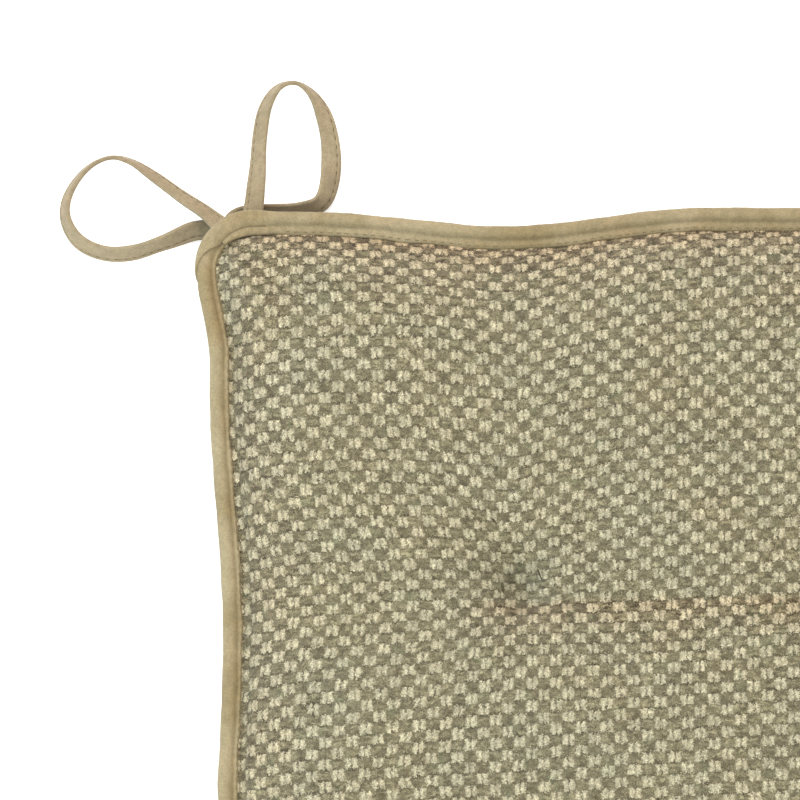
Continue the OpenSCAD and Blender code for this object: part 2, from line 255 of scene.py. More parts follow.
# ---------------------------------------------------------------- meshes
def new_object(name, verts, faces, materials, smooth=True):
    mesh = bpy.data.meshes.new(name)
    faces = np.asarray(faces, dtype=np.int32)
    mesh.vertices.add(len(verts))
    mesh.vertices.foreach_set("co", (np.asarray(verts, float) * MM).ravel())
    mesh.loops.add(faces.size)
    mesh.loops.foreach_set("vertex_index", faces.ravel())
    mesh.polygons.add(len(faces))
    starts = np.arange(0, faces.size, faces.shape[1], dtype=np.int32)
    mesh.polygons.foreach_set("loop_start", starts)
    mesh.polygons.foreach_set("use_smooth", np.full(len(faces), smooth))
    mesh.update(calc_edges=True)
    mesh.validate()
    for m in materials:
        mesh.materials.append(m)
    obj = bpy.data.objects.new(name, mesh)
    bpy.context.scene.collection.objects.link(obj)
    return obj


def grid_faces(rows, columns, wrap_rows=False, wrap_columns=False):
    j, i = np.meshgrid(
        np.arange(rows if wrap_rows else rows - 1),
        np.arange(columns if wrap_columns else columns - 1),
        indexing="ij",
    )
    j, i = j.ravel(), i.ravel()
    j2, i2 = (j + 1) % rows, (i + 1) % columns
    return np.stack([j * columns + i, j * columns + i2, j2 * columns + i2, j2 * columns + i], 1)


def grid_normals(p):
    du, dv = np.gradient(p, axis=1), np.gradient(p, axis=0)
    n = np.cross(du, dv)
    return n / np.maximum(np.linalg.norm(n, axis=2, keepdims=True), 1e-9)


def waves(x, y, seed, scale, count=7):
    """Smooth seeded unevenness between about -1 and 1."""
    rng = np.random.default_rng(seed)
    total = np.zeros_like(x)
    for _ in range(count):
        a, f = rng.uniform(0, 2 * np.pi), rng.uniform(0.6, 1.6) / scale
        total += np.sin((x * math.cos(a) + y * math.sin(a)) * f * 2 * np.pi + rng.uniform(0, 6.28))
    return total / math.sqrt(count)


# ---------------------------------------------------------------- cloth
CLOTH_N = 93  # points along each side of the cloth
CLOTH_CAP = 4.0  # no point moves further than this from the written shape


def relax_cover(height_of, tables, sign):
    """Inflates the cover between its seam and its tufts, and returns how far each point moved."""
    (sx, _), (sy, _) = tables
    s = np.linspace(-sx[-1], sx[-1], CLOTH_N)
    t = np.linspace(-sy[-1], sy[-1], CLOTH_N)
    gs, gt = np.meshgrid(s, t)
    x, y = plan_of(gs, gt, tables)
    start = np.stack([x, y, height_of(x, y)], 2)
    faces = grid_faces(CLOTH_N, CLOTH_N)
    if sign < 0:
        faces = faces[:, ::-1]
    obj = new_object("cloth_work", start.reshape(-1, 3), faces, [])
    held = edge_distance(x, y) < LIFT_OFF + 1
    for e in (-1, 1):
        hx = TUFT_X + e * TUFT_GAP / 2 * math.cos(TUFT_TURN)
        held |= np.hypot(np.abs(x) - hx, np.abs(y) - TUFT_Y) < 4.5
    group = obj.vertex_groups.new(name="held")
    group.add(np.flatnonzero(held.ravel()).tolist(), 1.0, "REPLACE")
    cloth = obj.modifiers.new("cloth", "CLOTH")
    cloth.settings.quality = 5
    cloth.settings.mass = 0.3
    cloth.settings.tension_stiffness = 30
    cloth.settings.compression_stiffness = 30
    cloth.settings.shear_stiffness = 12
    cloth.settings.bending_stiffness = 1.5
    cloth.settings.vertex_group_mass = "held"
    cloth.settings.use_pressure = True
    cloth.settings.uniform_pressure_force = 3.0
    cloth.settings.effector_weights.gravity = 0
    cloth.collision_settings.use_collision = False
    scene = bpy.context.scene
    for f in range(1, 21):
        scene.frame_set(f)
    done = obj.evaluated_get(bpy.context.evaluated_depsgraph_get()).to_mesh()
    co = np.empty(len(start.reshape(-1, 3)) * 3)
    done.vertices.foreach_get("co", co)
    moved = co.reshape(CLOTH_N, CLOTH_N, 3) / MM - start
    bpy.data.objects.remove(obj, do_unlink=True)
    scene.frame_set(1)
    size = np.linalg.norm(moved, axis=2, keepdims=True)
    return moved * np.tanh(size / CLOTH_CAP) * CLOTH_CAP / np.maximum(size, 1e-6), s, t


def spread(field, s, t, at_s, at_t):
    """Bicubic lookup of a field on the even cloth grid."""

    def weights(grid, at):
        u = np.clip((at - grid[0]) / (grid[1] - grid[0]), 0, len(grid) - 1.000001)
        i = np.floor(u).astype(int)
        f = u - i
        w = np.stack(
            [
                -0.5 * f + f**2 - 0.5 * f**3,
                1 - 2.5 * f**2 + 1.5 * f**3,
                0.5 * f + 2 * f**2 - 1.5 * f**3,
                -0.5 * f**2 + 0.5 * f**3,
            ]
        )
        return np.clip(np.stack([i - 1, i, i + 1, i + 2]), 0, len(grid) - 1), w

    (ia, wa), (ib, wb) = weights(s, at_s), weights(t, at_t)
    total = 0
    for a in range(4):
        for b in range(4):
            total = total + (wa[a] * wb[b])[..., None] * field[ib[b], ia[a]]
    return total


# ---------------------------------------------------------------- woven covers
RELIEF = 0.42  # how far a block stands out


def woven_cover(name, height_of, tables, sign, per_block, material):
    """The cover as a mesh whose lines are the weave's own rows and columns."""
    (sx, _), (sy, _) = tables
    ni = int(math.ceil((sx[-1] + 14) / BLOCK_W)) * per_block
    nj = int(math.ceil((sy[-1] + 14) / BLOCK_H)) * per_block
    i, j = np.meshgrid(np.arange(-ni, ni + 1) / per_block, np.arange(-nj, nj + 1) / per_block)
    s = i * BLOCK_W
    t = j * BLOCK_H + s * ROW_SKEW
    s = s - j * BLOCK_H * COLUMN_SKEW
    x, y = plan_of(s, t, tables)
    beyond = (np.abs(s) > sx[-1]) | (np.abs(t) > sy[-1])
    d = edge_distance(x, y)
    p = np.stack([x, y, height_of(x, y)], 2)
    moved, gs, gt = relax_cover(height_of, tables, sign)
    p = p + spread(moved, gs, gt, s, t) * ramp((d - LIFT_OFF) / 4)[..., None]
    if sign < 0:
        p[..., 2] = np.maximum(p[..., 2], 0.0)
    else:
        p[..., 2] += 0.35 * waves(x, y, 3, 38) * ramp((d - 12) / 20)
    block = (np.abs(np.sin(np.pi * i)) * np.abs(np.sin(np.pi * j))) ** 0.6
    warp = (np.floor(i) + np.floor(j)) % 2 == 0
    rise = RELIEF * block * np.where(warp, 1.0, 0.72) * ramp((d - LIFT_OFF + 1) / 3)
    n = grid_normals(p)
    p = p + n * (rise * sign * np.sign(n[..., 2]))[..., None]
    if sign < 0:
        p[..., 2] = np.maximum(p[..., 2], 0.0)
    rows, columns = x.shape
    faces = grid_faces(rows, columns)
    keep = (~beyond & (d > 2.0)).ravel()
    faces = faces[keep[faces].all(1)]
    used = np.unique(faces)
    index = np.full(rows * columns, -1)
    index[used] = np.arange(len(used))
    faces = index[faces]
    if sign < 0:
        faces = faces[:, ::-1]
    obj = new_object(name, p.reshape(-1, 3)[used], faces, [material])
    # where the cloth turns down, the gaps between its yarns get painted shade and the cloth a
    # painted warm light, more so along the rear and the front
    to_side = LINE_HALF - side_dip(y) - np.abs(x) - LIFT_OFF
    painted_light_and_shade = np.exp(-np.maximum(d - LIFT_OFF, 0) / 8)
    painted_light_and_shade = painted_light_and_shade * (1 - 0.85 * np.exp(-np.maximum(to_side, 0) / 9))
    # the same painted shade and warm light in a band along the crease, on its side nearer the
    # middle
    below = (CREASE_Y - 2 - np.abs(y)) / 7
    crease_light_and_shade = np.where(below > 0, np.exp(-below), np.exp(-((below * 4) ** 2)))
    crease_light_and_shade = crease_light_and_shade * (1 - ramp((np.abs(x) - TUFT_X) / 25))
    weave = np.stack([i, j, np.maximum(painted_light_and_shade, 0.6 * crease_light_and_shade)], 2).reshape(-1, 3)[used]
    attribute = obj.data.attributes.new("weave", "FLOAT_VECTOR", "POINT")
    attribute.data.foreach_set("vector", weave.ravel())
    return obj


# ---------------------------------------------------------------- materials
class Shader:
    """A node material, built from plain expressions."""

    def __init__(self, name, roughness=0.85, sheen=0.0, sheen_roughness=0.5):
        self.material = bpy.data.materials.new(name)
        self.material.use_nodes = True
        self.tree = self.material.node_tree
        self.bsdf = self.tree.nodes["Principled BSDF"]
        self.bsdf.inputs["Roughness"].default_value = roughness
        self.bsdf.inputs["Specular IOR Level"].default_value = 0.25
        self.bsdf.inputs["Sheen Weight"].default_value = sheen
        self.bsdf.inputs["Sheen Roughness"].default_value = sheen_roughness
        self.place = self.tree.nodes.new("ShaderNodeTexCoord").outputs["Object"]

    def put(self, socket, value):
        if isinstance(value, bpy.types.NodeSocket):
            self.tree.links.new(value, socket)
        else:
            socket.default_value = value

    def math(self, operation, *values):
        node = self.tree.nodes.new("ShaderNodeMath")
        node.operation = operation
        for socket, value in zip(node.inputs, values):
            self.put(socket, value)
        return node.outputs[0]

    def add(self, a, b):
        return self.math("ADD", a, b)

    def mul(self, a, b):
        return self.math("MULTIPLY", a, b)

    def step(self, value, low, high, to_low=0.0, to_high=1.0):
        node = self.tree.nodes.new("ShaderNodeMapRange")
        node.interpolation_type = "SMOOTHSTEP"
        for socket, v in zip(node.inputs, (value, low, high, to_low, to_high)):
            self.put(socket, v)
        return node.outputs[0]

    def noise(self, scale, detail=2.0, vector=None, colour=False, rough=0.5):
        node = self.tree.nodes.new("ShaderNodeTexNoise")
        self.put(node.inputs["Vector"], self.place if vector is None else vector)
        node.inputs["Scale"].default_value = scale
        node.inputs["Detail"].default_value = detail
        node.inputs["Roughness"].default_value = rough
        return node.outputs["Color" if colour else "Fac"]

    def split(self, vector):
        node = self.tree.nodes.new("ShaderNodeSeparateXYZ")
        self.put(node.inputs[0], vector)
        return node.outputs

    def join(self, x, y, z=0.0):
        node = self.tree.nodes.new("ShaderNodeCombineXYZ")
        for socket, value in zip(node.inputs, (x, y, z)):
            self.put(socket, value)
        return node.outputs[0]

    def attribute(self, name):
        node = self.tree.nodes.new("ShaderNodeAttribute")
        node.attribute_name = name
        return node.outputs["Vector"]

    def mix(self, factor, a, b, blend="MIX"):
        node = self.tree.nodes.new("ShaderNodeMix")
        node.data_type = "RGBA"
        node.blend_type = blend
        self.put(node.inputs[0], factor)
        self.put(node.inputs[6], a)
        self.put(node.inputs[7], b)
        return node.outputs[2]

    def scaled(self, colour, factor):
        """The colour made lighter or darker by a factor around 1."""
        grey = self.join(factor, factor, factor)
        return self.mix(1.0, colour, grey, "MULTIPLY")

    def finish(self, colour, height=None, depth=0.0002, strength=1.0):
        self.put(self.bsdf.inputs["Base Color"], colour)
        if height is not None:
            node = self.tree.nodes.new("ShaderNodeBump")
            node.inputs["Strength"].default_value = strength
            node.inputs["Distance"].default_value = depth
            self.put(node.inputs["Height"], height)
            self.put(self.bsdf.inputs["Normal"], node.outputs[0])
        return self.material


def srgb(r, g, b):
    def linear(c):
        c /= 255
        return c / 12.92 if c <= 0.04045 else ((c + 0.055) / 1.055) ** 2.4

    return (linear(r), linear(g), linear(b), 1.0)


def weave_material():
    """Basket weave: pairs of thick cream warp yarns over a taupe weft of thin, hairy yarns, with
    painted highlight and shade on the yarns and painted warm light where the cloth turns down.
    """
    m = Shader("basket_weave", roughness=0.92, sheen=0.1)
    # the third value says where to paint warm light and shade in the gaps
    i, j, painted_light_and_shade = m.split(m.attribute("weave"))
    drift = m.split(m.noise(300, 1.0, colour=True))
    loose = m.split(m.noise(900, 1.0, colour=True))
    fuzz = m.split(m.noise(2300, 2.0, colour=True, rough=0.7))

    def frayed(at, axis, amounts):
        for source, amount in zip((drift, loose, fuzz), amounts):
            at = m.add(at, m.math("MULTIPLY_ADD", source[axis], amount, -amount / 2))
        return at

    i = frayed(i, 0, (0.25, 0.46, 0.5))
    j = frayed(j, 1, (0.25, 0.55, 0.8))
    cell_i, cell_j = m.math("FLOOR", i), m.math("FLOOR", j)
    u = m.math("SUBTRACT", m.math("FRACT", i), 0.5)
    v = m.math("SUBTRACT", m.math("FRACT", j), 0.5)
    weft = m.math("PINGPONG", m.add(cell_i, cell_j), 1.0)
    warp = m.math("SUBTRACT", 1.0, weft)
    white = m.tree.nodes.new("ShaderNodeTexWhiteNoise")
    white.noise_dimensions = "2D"
    m.put(white.inputs["Vector"], m.join(cell_i, cell_j))
    chance = m.split(white.outputs["Color"])

    fibre = m.noise(3600, 3.0, rough=0.7)
    hairs = m.noise(1.0, 3.0, m.join(m.mul(i, 8.0), m.mul(j, 3.5)), rough=0.75)
    streaks = m.noise(1.0, 3.0, m.join(m.mul(i, 1.2), m.mul(j, 5.0)), rough=0.65)

    # two warp yarns side by side, touching in the middle of the block and open at its ends
    au, av = m.math("ABSOLUTE", u), m.math("ABSOLUTE", v)
    across = m.math("DIVIDE", m.math("SUBTRACT", au, 0.23), 0.31)
    yarn = m.math("SUBTRACT", 1.0, m.mul(across, across))
    slit = m.mul(m.step(au, 0.07, 0.0), m.step(av, 0.04, 0.36, 0.15, 1.0))
    yarn = m.math("SUBTRACT", yarn, m.mul(slit, m.math("MULTIPLY_ADD", chance[0], 0.8, 0.3)))
    yarn = m.mul(yarn, m.step(av, 0.54, 0.42))
    yarn = m.math("MAXIMUM", m.add(yarn, m.math("MULTIPLY_ADD", hairs, 1.5, -0.75)), 0.0)
    cover = m.mul(m.step(yarn, 0.04, 0.3), warp)
    # painted highlight along each warp yarn's crown and painted shade at its flanks and in the
    # slit, mixed with fibre noise; the darker cream is that painted shade
    crown_light_and_fibre = m.add(m.mul(yarn, 0.75), m.math("MULTIPLY_ADD", fibre, 0.6, -0.16))
    cream = m.mix(m.step(crown_light_and_fibre, 0.15, 0.95), srgb(112, 105, 79), srgb(186, 178, 150))

    # the weft: thin yarns, with painted shade where it dives beside a warp pair, and between its
    # lines where the cloth turns down
    dive = m.step(m.add(av, m.math("MULTIPLY_ADD", streaks, 0.3, -0.15)), 0.34, 0.5)
    lines = m.step(m.add(streaks, m.math("MULTIPLY_ADD", fibre, 0.4, -0.2)), 0.42, 0.58)
    painted_gap_shade = m.mul(dive, m.add(m.math("MULTIPLY_ADD", chance[2], 0.5, 0.15), painted_light_and_shade))
    painted_gap_shade = m.add(painted_gap_shade, m.mul(painted_light_and_shade, m.math("MULTIPLY_ADD", lines, -0.5, 0.5)))
    thin = m.math("SUBTRACT", m.math("MULTIPLY_ADD", lines, 0.7, 0.3), painted_gap_shade)
    # painted shade on the weft that shows between and beside the warp yarns
    thin = m.math("SUBTRACT", thin, m.mul(warp, 0.45))
    thin = m.math("MAXIMUM", thin, 0.0)
    # from the darkest painted shade to the weft's own taupe
    taupe = m.mix(thin, srgb(60, 52, 34), srgb(137, 130, 103))
    colour = m.mix(cover, taupe, cream)
    colour = m.scaled(colour, m.math("MULTIPLY_ADD", chance[1], 0.16, 0.87))
    along_warp = m.noise(1.0, 2.0, m.join(m.mul(i, 7.0), m.mul(j, 2.2)), rough=0.7)
    along_weft = m.noise(1.0, 2.0, m.join(m.mul(i, 1.9), m.mul(j, 6.5)), rough=0.7)
    strand = m.add(m.mul(along_warp, warp), m.mul(along_weft, weft))
    colour = m.scaled(colour, m.math("MULTIPLY_ADD", m.step(strand, 0.32, 0.68), 0.7, 0.67))
    grain = m.step(m.noise(1900, 1.0), 0.3, 0.7)
    colour = m.scaled(colour, m.math("MULTIPLY_ADD", grain, 0.5, 0.76))
    speck = m.step(m.noise(1400, 2.0, rough=0.8), 0.57, 0.65)
    colour = m.scaled(colour, m.math("MULTIPLY_ADD", speck, -0.34, 1.03))
    # painted warm light where the cloth turns down and along the crease
    painted_warm_light = m.mix(1.0, colour, (1.26, 1.0, 0.84, 1.0), "MULTIPLY")
    colour = m.mix(m.mul(painted_light_and_shade, 0.65), colour, painted_warm_light)
    tint = m.step(m.noise(40, 3.0), 0.35, 0.65)
    colour = m.mix(m.mul(tint, 0.14), colour, srgb(196, 172, 146), "OVERLAY")
    green = m.step(m.noise(170, 2.0), 0.58, 0.72)
    colour = m.mix(m.mul(green, 0.09), colour, srgb(128, 154, 114))
    height = m.add(m.mul(m.mul(yarn, warp), 0.9), m.mul(thin, 0.35))
    return m.finish(colour, m.add(height, m.mul(fibre, 0.3)), 0.00045, 0.8)


def suede_material(name, light, dark, warm):
    """Brushed, closely woven bias strip or tape."""
    m = Shader(name, roughness=0.8, sheen=0.12, sheen_roughness=0.35)
    patch = m.step(m.noise(40, 3.0), 0.3, 0.7)
    colour = m.mix(patch, dark, light)
    colour = m.mix(m.mul(m.step(m.noise(75, 2.0), 0.5, 0.8), 0.14), colour, srgb(*warm))
    fine = m.noise(1800, 3.0, rough=0.7)
    colour = m.scaled(colour, m.math("MULTIPLY_ADD", m.step(fine, 0.3, 0.7), 0.28, 0.86))
    nap = m.step(m.noise(420, 3.0, rough=0.65), 0.35, 0.65)
    colour = m.scaled(colour, m.math("MULTIPLY_ADD", nap, 0.16, 0.92))
    height = m.add(m.mul(fine, 0.5), m.mul(m.noise(420, 2.0), 0.9))
    return m.finish(colour, height, 0.00018, 0.6)


def thread_material(name, light, dark):
    """Twisted sewing thread."""
    m = Shader(name, roughness=0.7)
    ply = m.step(m.noise(2600, 1.0), 0.35, 0.65)
    return m.finish(m.mix(ply, dark, light), ply, 0.0001, 0.5)


def foam_material():
    """Open-cell foam with small pores."""
    m = Shader("foam", roughness=0.9)
    cells = m.tree.nodes.new("ShaderNodeTexVoronoi")
    m.put(cells.inputs["Vector"], m.place)
    cells.inputs["Scale"].default_value = 900
    pore = m.step(cells.outputs["Distance"], 0.1, 0.5)
    return m.finish(m.mix(pore, srgb(206, 190, 140), srgb(240, 228, 188)), pore, 0.0003, 0.8)


def wadding_material():
    """Fluffy white polyester fibre."""
    m = Shader("wadding", roughness=0.95, sheen=0.3)
    strands = m.noise(700, 6.0, rough=0.75)
    tone = m.step(strands, 0.3, 0.7)
    return m.finish(m.mix(tone, srgb(222, 221, 216), srgb(248, 248, 246)), strands, 0.0008, 1.0)


WEAVE = weave_material()
BINDING = suede_material("binding_suede", srgb(146, 133, 104), srgb(128, 113, 81), (158, 124, 92))
TAPE = suede_material("tie_tape", srgb(144, 130, 104), srgb(131, 116, 90), (160, 124, 100))
STITCH = thread_material("binding_thread", srgb(132, 118, 87), srgb(112, 98, 70))
SEAM = thread_material("tie_thread", srgb(112, 96, 68), srgb(78, 64, 42))
TUFT = thread_material("tuft_thread", srgb(96, 90, 66), srgb(52, 48, 34))
FOAM = foam_material()
WADDING = wadding_material()
CORD = thread_material("filler_cord", srgb(232, 226, 208), srgb(196, 188, 166))


# ---------------------------------------------------------------- ties
STITCH_W = -1.95  # the seam that holds the tape's folded edges, across its width
# one face of the tape's section: across, out
TAPE_HALF = [
    (-3.5, 0.0), (-3.42, 0.45), (-3.1, 0.72), (-2.6, 0.76), (-2.2, 0.72), (-1.95, 0.5),
    (-1.7, 0.72), (-1.2, 0.76), (0.0, 0.72), (1.4, 0.72), (2.6, 0.75), (3.2, 0.6), (3.5, 0.0),
]
TAPE_PROFILE = np.array(TAPE_HALF + [(w, -t) for w, t in TAPE_HALF[-2:0:-1]])
# each route: x, y, z and the tape's roll in degrees, from the tack to the bare end
SIDE_ROUTE = [
    (-190, 190.5, 13, 0), (-193, 195.5, 11.2, 4), (-199.5, 202.7, 6.5, 38), (-208.5, 209.4, 4, 46),
    (-217.8, 216.3, 3.9, 55), (-226.2, 221.8, 4, 70), (-233.7, 223.2, 4, 78), (-241.7, 219, 4, 74),
    (-247.7, 210.3, 3.9, 68), (-248.7, 201.8, 3.9, 67),
    (-244.2, 193.8, 3.8, 62), (-235.5, 189.6, 3.7, 58),
    (-225.4, 189.8, 3.6, 55), (-214, 193.7, 3.4, 53),
    (-203.5, 197.8, 2.6, 28), (-194, 197.2, 1.3, 6),
    (-187, 190, 0.9, 0), (-184, 176, 0.9, 0), (-182, 155, 0.9, 0), (-180, 134, 0.9, 0),
    (-179, 114, 0.9, 0),
]
REAR_ROUTE = [
    (-189.5, 189.5, 11.2, 0), (-191.2, 195, 8.9, 0), (-190.5, 200.3, 7, 25),
    (-185.5, 203.9, 4.4, 62), (-177, 204.9, 4, 74), (-168, 205.2, 3.9, 66), (-161, 207.1, 3.4, 45),
    (-157.8, 213.8, 2.5, 24), (-157, 224.8, 2.2, 14),
    (-158.7, 235.7, 2.6, 28), (-162.6, 244.5, 3.8, 60),
    (-168.5, 249.5, 4, 78), (-175, 248.3, 4, 70), (-179.6, 241.4, 3.7, 54), (-181.6, 231, 3.6, 46),
    (-182.4, 218.5, 5.8, 38), (-183.2, 208.6, 9.4, 22), (-183.8, 200.5, 10.6, 6),
    (-182, 192.5, 8, 0), (-174, 186.8, 2.5, 0), (-160, 186, 0.9, 0), (-140, 185.5, 0.9, 0),
    (-120, 183, 0.9, 0), (-104, 181, 0.9, 0),
]


def unit(v):
    return v / np.maximum(np.linalg.norm(v, axis=-1, keepdims=True), 1e-9)


def smooth_route(route, pitch):
    """Points at an even pitch on a centripetal curve through the route's points."""
    r = np.array(route, float)
    ends = np.vstack([2 * r[0] - r[1], r, 2 * r[-1] - r[-2]])
    out = []
    for a, b, c, d in zip(ends, ends[1:], ends[2:], ends[3:]):
        for f in np.linspace(0, 1, 24, endpoint=False):
            out.append(
                0.5 * (2 * b + (c - a) * f + (2 * a - 5 * b + 4 * c - d) * f**2
                       + (3 * b - a - 3 * c + d) * f**3)
            )
    out = np.array(out + [r[-1]])
    gone = np.concatenate([[0], np.cumsum(np.linalg.norm(np.diff(out[:, :3], axis=0), axis=1))])
    at = np.linspace(0, gone[-1], int(gone[-1] / pitch) + 1)
    return np.stack([np.interp(at, gone, out[:, k]) for k in range(4)], 1), at


def route_frame(points):
    """Along, across and up of the tape at each point, with its roll turned in."""
    along = unit(np.gradient(points[:, :3], axis=0))
    across = unit(np.cross([0, 0, 1], along))
    up = np.cross(along, across)
    roll = np.radians(points[:, 3])[:, None]
    wide = np.cos(roll) * across + np.sin(roll) * up
    return along, wide, np.cross(along, wide)


STITCH_PITCH = 3.0  # from one stitch to the next, in the ties and the binding


def capsules(centres, along, length, radius, out=None):
    """Short rounded threads: verts and faces of one 6-sided capsule for each centre."""
    along = unit(np.asarray(along, float))
    if out is None:
        out = np.tile([0.0, 0.0, 1.0], (len(centres), 1))
    side = unit(np.cross(out, along))
    out = np.cross(along, side)
    rings = [(-0.5, 0.25), (-0.38, 0.8), (0.0, 1.0), (0.38, 0.8), (0.5, 0.25)]
    verts = []
    for at, wide in rings:
        for k in range(6):
            a = math.pi / 3 * k
            verts.append(
                centres + along * (at * length)
                + radius * wide * (math.cos(a) * side + math.sin(a) * out)
            )
    verts = np.stack(verts, 1)
    one = grid_faces(len(rings), 6, wrap_columns=True)
    faces = (one[None] + (np.arange(len(centres)) * verts.shape[1])[:, None, None]).reshape(-1, 4)
    return verts.reshape(-1, 3), faces


def make_tie(name, route, mirrored):
    points, at = smooth_route(route, 0.9)
    along, wide, thick = route_frame(points)
    breath = 1 + 0.03 * np.sin(at / 7.0 + 0.6) + 0.02 * np.sin(at / 2.9)
    ring = (
        points[:, None, :3]
        + TAPE_PROFILE[None, :, :1] * wide[:, None] * breath[:, None, None]
        + TAPE_PROFILE[None, :, 1:] * thick[:, None]
    )
    pucker = 0.09 * np.cos(2 * np.pi * at / STITCH_PITCH)
    stitched = np.exp(-(((TAPE_PROFILE[:, 0] - STITCH_W) / 0.6) ** 2)) * np.sign(TAPE_PROFILE[:, 1])
    ring = ring + (pucker[:, None] * stitched[None])[..., None] * thick[:, None]
    lift = np.maximum(0.06 - ring[..., 2].min(1), 0)
    ring[..., 2] += lift[:, None]
    points[:, 2] += lift
    rows, columns = ring.shape[:2]
    verts = ring.reshape(-1, 3)
    faces = grid_faces(rows, columns, wrap_columns=True)
    caps = []
    for row in (0, rows - 1):  # each end is closed across its two layers
        first = row * columns
        for k in range(columns // 2):
            across = columns - k
            quad = [first + k, first + k + 1, first + across - 1, first + across % columns]
            caps.append(quad if row == 0 else quad[::-1])
    faces = np.vstack([faces, caps])
    where = np.arange(2.0, at[-1] - 2, STITCH_PITCH)
    c, a, w, n = (
        np.stack([np.interp(where, at, values[:, k]) for k in range(3)], 1)
        for values in (points, along, wide, thick)
    )
    flip = np.array([-1.0, 1.0, 1.0]) if mirrored else np.ones(3)
    faces = faces if mirrored else faces[:, ::-1]
    obj = new_object(name + "_tape", verts * flip, faces, [TAPE])
    threads = []
    for face in (1, -1):
        v, f = capsules(c + STITCH_W * w + face * 0.5 * n, a, 1.5, 0.22, n)
        threads.append((v, f))
    v = np.vstack([threads[0][0], threads[1][0]])
    f = np.vstack([threads[0][1], threads[1][1] + len(threads[0][0])])
    seam = new_object(name + "_stitches", v * flip, f[:, ::-1] if mirrored else f, [SEAM])
    for piece in (obj, seam):
        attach(piece, "root")
    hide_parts(name)


for side, mirrored in (("left", False), ("right", True)):
    make_tie(side + "_side_tie", SIDE_ROUTE, mirrored)
    make_tie(side + "_rear_tie", REAR_ROUTE, mirrored)


# ---------------------------------------------------------------- covers
top_cover = woven_cover("woven_top", top_height, TOP_TABLES, 1, 3, WEAVE)
bottom_cover = woven_cover("woven_bottom", under_height, UNDER_TABLES, -1, 2, WEAVE)
for piece, node in ((top_cover, "top_cover"), (bottom_cover, "bottom_cover")):
    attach(piece, "root")
    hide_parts(node)


# ---------------------------------------------------------------- binding
def outline_table():
    """The roll's centreline in the first quadrant, from the side's middle to the rear's middle."""
    arc_c = LINE_HALF - LINE_R
    y = np.linspace(0, arc_c - CORNER_SHORT, 300)
    a = np.radians(np.linspace(0, 90, 90))[1:-1]
    x = np.linspace(arc_c, 0, 300)
    side = np.stack([LINE_HALF - side_dip(y), y], 1)
    arc = np.stack([arc_c + LINE_R * np.cos(a), arc_c - CORNER_SHORT + LINE_R * np.sin(a)], 1)
    rear = np.stack([x, LINE_HALF - rear_dip(x)], 1)
    q = np.vstack([side, arc, rear])
    whole = np.vstack([q, q[-2::-1] * [-1, 1], -q[1:], (-q[-2:0:-1]) * [-1, 1]])
    closed = np.vstack([whole, whole[:1]])
    gone = np.concatenate([[0], np.cumsum(np.linalg.norm(np.diff(closed, axis=0), axis=1))])
    return closed, gone


OUTLINE, GONE = outline_table()
ROUND = GONE[-1]


def outline_at(s):
    """Position and inward normal on the roll's centreline, at arc length s anticlockwise."""
    s = np.mod(s, ROUND)

    def at(q):
        q = np.mod(q, ROUND)
        return np.stack([np.interp(q, GONE, OUTLINE[:, 0]), np.interp(q, GONE, OUTLINE[:, 1])], -1)

    t = unit(at(s + 0.8) - at(s - 0.8))
    return at(s), np.stack([-t[..., 1], t[..., 0]], -1)


# the upper face of the flange from its inner edge to the ditch: inward, up
FLANGE = [
    (5.62, 0.2), (5.74, 0.6), (5.6, 0.98), (5.15, 1.24),
    (4.5, 1.4), (3.8, 1.4), (3.2, 1.3), (2.75, 1.2),
]
ROLL_STEPS = 22  # steps round the whole roll


def strip_half():
    """The upper half of the binding's section: flange, ditch and roll, as (inward, up)."""
    angles = np.radians(np.linspace(29.5, 180, ROLL_STEPS // 2 + 1))
    roll = np.stack([ROLL_R * np.cos(angles), ROLL_R * np.sin(angles)], 1)
    return np.vstack([FLANGE, roll])


UPPER = strip_half()
STRIP = np.vstack([UPPER, (UPPER * [1, -1])[-2::-1]])


def unevenness(s, seed, wave):
    """Smooth seeded unevenness along the closed edge, between about -1 and 1."""
    rng = np.random.default_rng(seed)
    total = np.zeros_like(s)
    for _ in range(6):
        turns = max(1, round(ROUND / (wave * rng.uniform(0.6, 1.7))))
        total += np.sin(2 * np.pi * turns * s / ROUND + rng.uniform(0, 6.28))
    return total / math.sqrt(6)


STITCHES = round(ROUND / STITCH_PITCH)
STITCH_IN = 4.6  # the stitch line, from the roll's centreline


def strip_points(s, section, lift=0.0):
    """Points of the binding at arc lengths s, for a section of (inward, up) points."""
    p, n = outline_at(s)
    rolled = np.hypot(section[:, 0], section[:, 1]) < ROLL_R + 0.05
    slow, fast = unevenness(s, 5, 26)[:, None], unevenness(s, 6, 7)[:, None]
    reach = 1 + 0.028 * slow * rolled + 0.012 * fast * rolled
    flange = (section[:, 0] > 2.7).astype(float)
    wander = unevenness(s, 7, 20)[:, None]
    d = section[:, 0] * reach + 0.16 * wander * flange * (section[:, 0] - 2.7) / 3
    beside = n[:, :1] ** 2  # 1 along the sides, 0 along the rear and the front
    d = d - FLANGE_TUCKED * beside * np.maximum(section[:, 0] - ROLL_R, 0)
    z = section[:, 1] * reach
    pinch = np.cos(2 * np.pi * s * STITCHES / ROUND)
    z = z * (1 + 0.06 * pinch[:, None] * np.exp(-(((section[:, 0] - STITCH_IN) / 0.8) ** 2)))
    out = unit(section)
    straight_up = np.stack([np.zeros(len(section)), np.sign(section[:, 1])], 1)
    out = np.where(flange[:, None] > 0, straight_up, out)
    lift = np.broadcast_to(lift, d.shape)
    d = d + out[:, 0] * lift
    z = z + out[:, 1] * lift + 0.25 * unevenness(s, 8, 60)[:, None]
    xy = p[:, None] + n[:, None] * d[..., None]
    return np.concatenate([xy, (SEAM_Z + z)[..., None]], 2)


